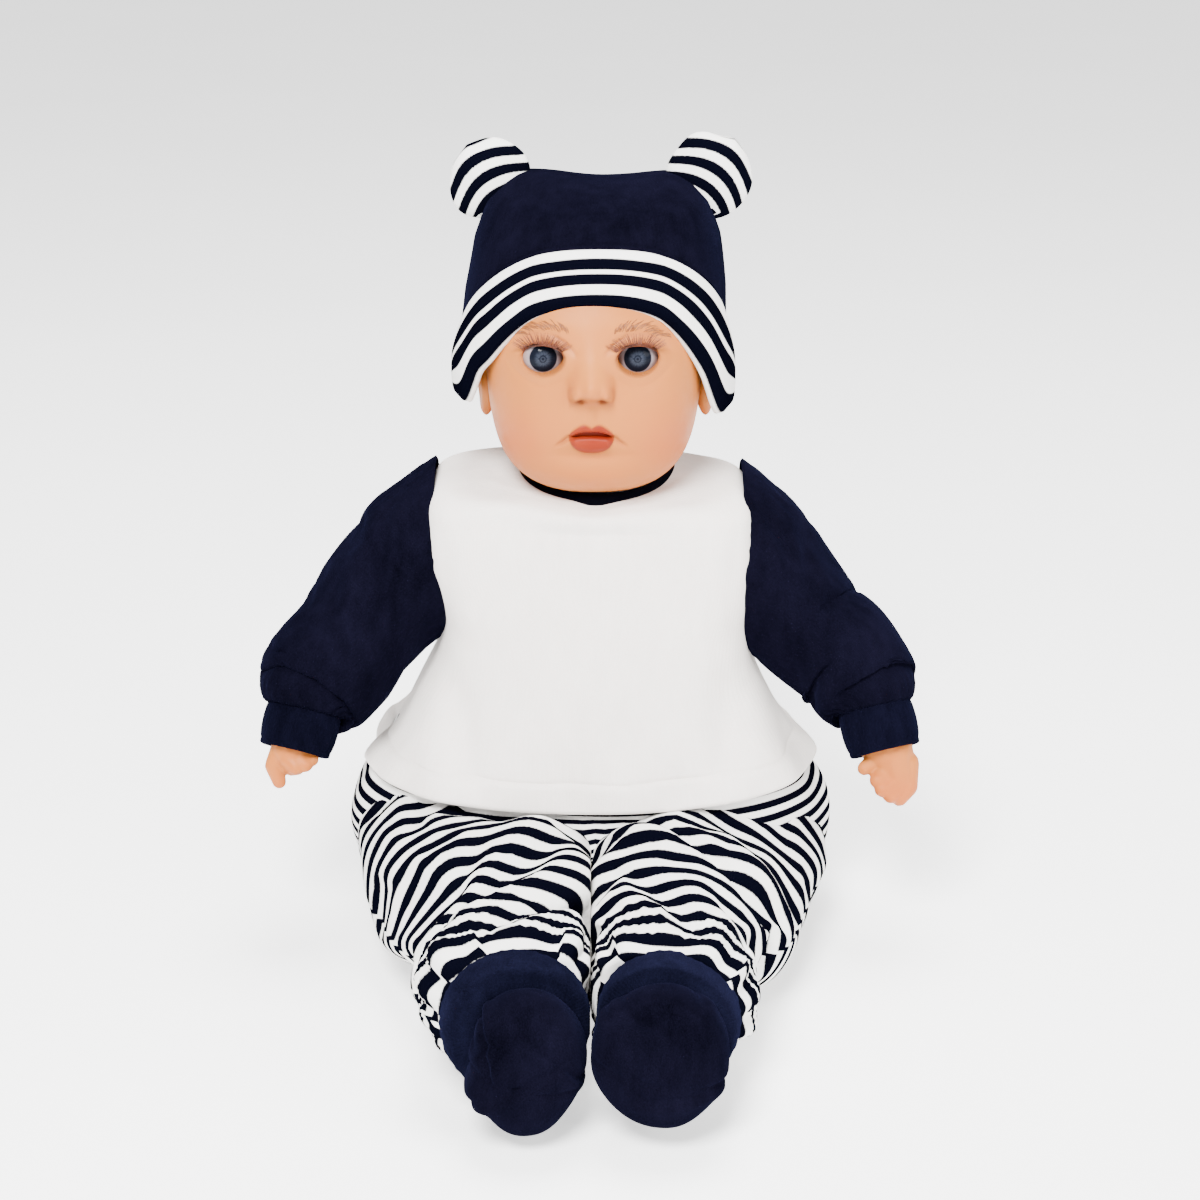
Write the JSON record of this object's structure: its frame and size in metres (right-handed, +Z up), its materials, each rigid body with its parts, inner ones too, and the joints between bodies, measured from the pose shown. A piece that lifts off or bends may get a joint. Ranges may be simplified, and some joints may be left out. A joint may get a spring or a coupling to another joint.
{
  "type": "interactive baby doll",
  "caption": "Seated soft-bodied baby doll with a vinyl head, sleeping eyes, vinyl hands and feet, a sound module in its torso, and a velour outfit with an eared hat.",
  "frame": {"origin": "centre of the flat strip of trouser seat under the crotch, on the surface that the doll sits on", "axes": "+Z up, -Y the way the doll faces, +X its own left side"},
  "size_m": [0.3266, 0.3711, 0.3993],
  "materials": {
    "vinyl": "soft satin vinyl with blush",
    "body_cloth": "plain woven body cloth over fibre filling",
    "navy_velour": "short-pile velour",
    "white_velour": "short-pile velour",
    "striped_velour": "short-pile velour with narrow dark stripes",
    "nylon": "moulded nylon",
    "eye_white": "polished",
    "eye_iris": "clear-domed insert",
    "lash": "fine bristle strip",
    "steel": "plain",
    "case_plastic": "moulded, fine grain",
    "button_plastic": "moulded",
    "circuit_board": "solder mask",
    "black_plastic": "moulded",
    "cell_jacket": "printed sleeve"
  },
  "bodies": {
    "torso": {"torso_body": "body_cloth", "pocket_flap": "body_cloth", "shirt_bodice": "white_velour", "neckline_binding": "navy_velour", "trousers_seat": "striped_velour", "module_front_case": "case_plastic", "module_rear_case": "case_plastic", "battery_door": "case_plastic", "battery_door_screw": "steel", "case_screw_1": "steel", "case_screw_2": "steel", "battery_cell_1": "cell_jacket", "battery_cell_2": "cell_jacket", "battery_cell_3": "cell_jacket", "battery_spring_1": "steel", "battery_spring_2": "steel", "battery_spring_3": "steel", "circuit_board": "circuit_board", "speaker_frame": "steel", "speaker_cone": "black_plastic"},
    "neck": {"neck_cloth": "body_cloth", "neck_tie": "nylon"},
    "head": {"head_shell": "vinyl", "eye_cup_left": "case_plastic", "eye_cup_right": "case_plastic"},
    "hat": {"hat_crown": "navy_velour", "hat_brim": "striped_velour", "hat_ear_left": "striped_velour", "hat_ear_right": "striped_velour"},
    "button": {"push_button": "button_plastic"},
    "switch": {"power_switch": "black_plastic"},
    "eye_left": {"eyeball_left": "eye_white", "iris_left": "eye_iris", "eye_weight_left": "steel", "eyelash_left": "lash"},
    "arm_left": {"arm_stuffing_left": "body_cloth", "arm_tie_left": "nylon", "sleeve_left": "navy_velour", "cuff_left": "navy_velour"},
    "forearm_left": {"forearm_left": "vinyl"},
    "leg_left": {"leg_stuffing_left": "body_cloth", "trousers_leg_left": "striped_velour", "leg_tie_left": "nylon", "lower_leg_left": "vinyl", "bootie_left": "navy_velour"},
    "eye_right": {"eyeball_right": "eye_white", "iris_right": "eye_iris", "eye_weight_right": "steel", "eyelash_right": "lash"},
    "arm_right": {"arm_stuffing_right": "body_cloth", "arm_tie_right": "nylon", "sleeve_right": "navy_velour", "cuff_right": "navy_velour"},
    "forearm_right": {"forearm_right": "vinyl"},
    "leg_right": {"leg_stuffing_right": "body_cloth", "trousers_leg_right": "striped_velour", "leg_tie_right": "nylon", "lower_leg_right": "vinyl", "bootie_right": "navy_velour"}
  },
  "joints": [
    {"name": "neck_nod", "type": "hinge", "parent": "torso", "child": "neck", "pos_m": [0, 0.004, 0.222], "axis": [-1, 0, 0], "range_deg": [0, 14]},
    {"name": "neck_turn", "type": "hinge", "parent": "neck", "child": "head", "pos_m": [0, 0.004, 0.222], "axis": [0, 0, 1], "range_deg": [-60, 60]},
    {"name": "hat_lift", "type": "slide", "parent": "head", "child": "hat", "axis": [0, 0, 1], "range_m": [0, 0.14]},
    {"name": "eye_close_left", "type": "hinge", "parent": "head", "child": "eye_left", "pos_m": [0.0222, -0.049, 0.299], "axis": [1, 0, 0], "range_deg": [0, 58]},
    {"name": "eye_close_right", "type": "hinge", "parent": "head", "child": "eye_right", "pos_m": [-0.0222, -0.049, 0.299], "axis": [1, 0, 0], "range_deg": [0, 58]},
    {"name": "shoulder_left", "type": "hinge", "parent": "torso", "child": "arm_left", "pos_m": [0.079, 0, 0.191], "axis": [-1, 0, 0], "range_deg": [-25, 95]},
    {"name": "forearm_twist_left", "type": "hinge", "parent": "arm_left", "child": "forearm_left", "pos_m": [0.133, -0.034, 0.146], "axis": [0.2321, -0.4009, -0.8862], "range_deg": [-60, 60]},
    {"name": "shoulder_right", "type": "hinge", "parent": "torso", "child": "arm_right", "pos_m": [-0.079, 0, 0.191], "axis": [-1, 0, 0], "range_deg": [-25, 95]},
    {"name": "forearm_twist_right", "type": "hinge", "parent": "arm_right", "child": "forearm_right", "pos_m": [-0.133, -0.034, 0.146], "axis": [-0.2321, -0.4009, -0.8862], "range_deg": [-60, 60]},
    {"name": "hip_left", "type": "hinge", "parent": "torso", "child": "leg_left", "pos_m": [0.059, -0.015, 0.0415], "axis": [1, 0, 0], "range_deg": [0, 85]},
    {"name": "hip_right", "type": "hinge", "parent": "torso", "child": "leg_right", "pos_m": [-0.059, -0.015, 0.0415], "axis": [1, 0, 0], "range_deg": [0, 85]},
    {"name": "button_press", "type": "slide", "parent": "torso", "child": "button", "axis": [0, 1, 0], "range_m": [0, 0.0025], "stiffness_N_per_m": 600, "springref_m": -0.001},
    {"name": "switch_slide", "type": "slide", "parent": "torso", "child": "switch", "axis": [1, 0, 0], "range_m": [0, 0.005]}
  ]
}
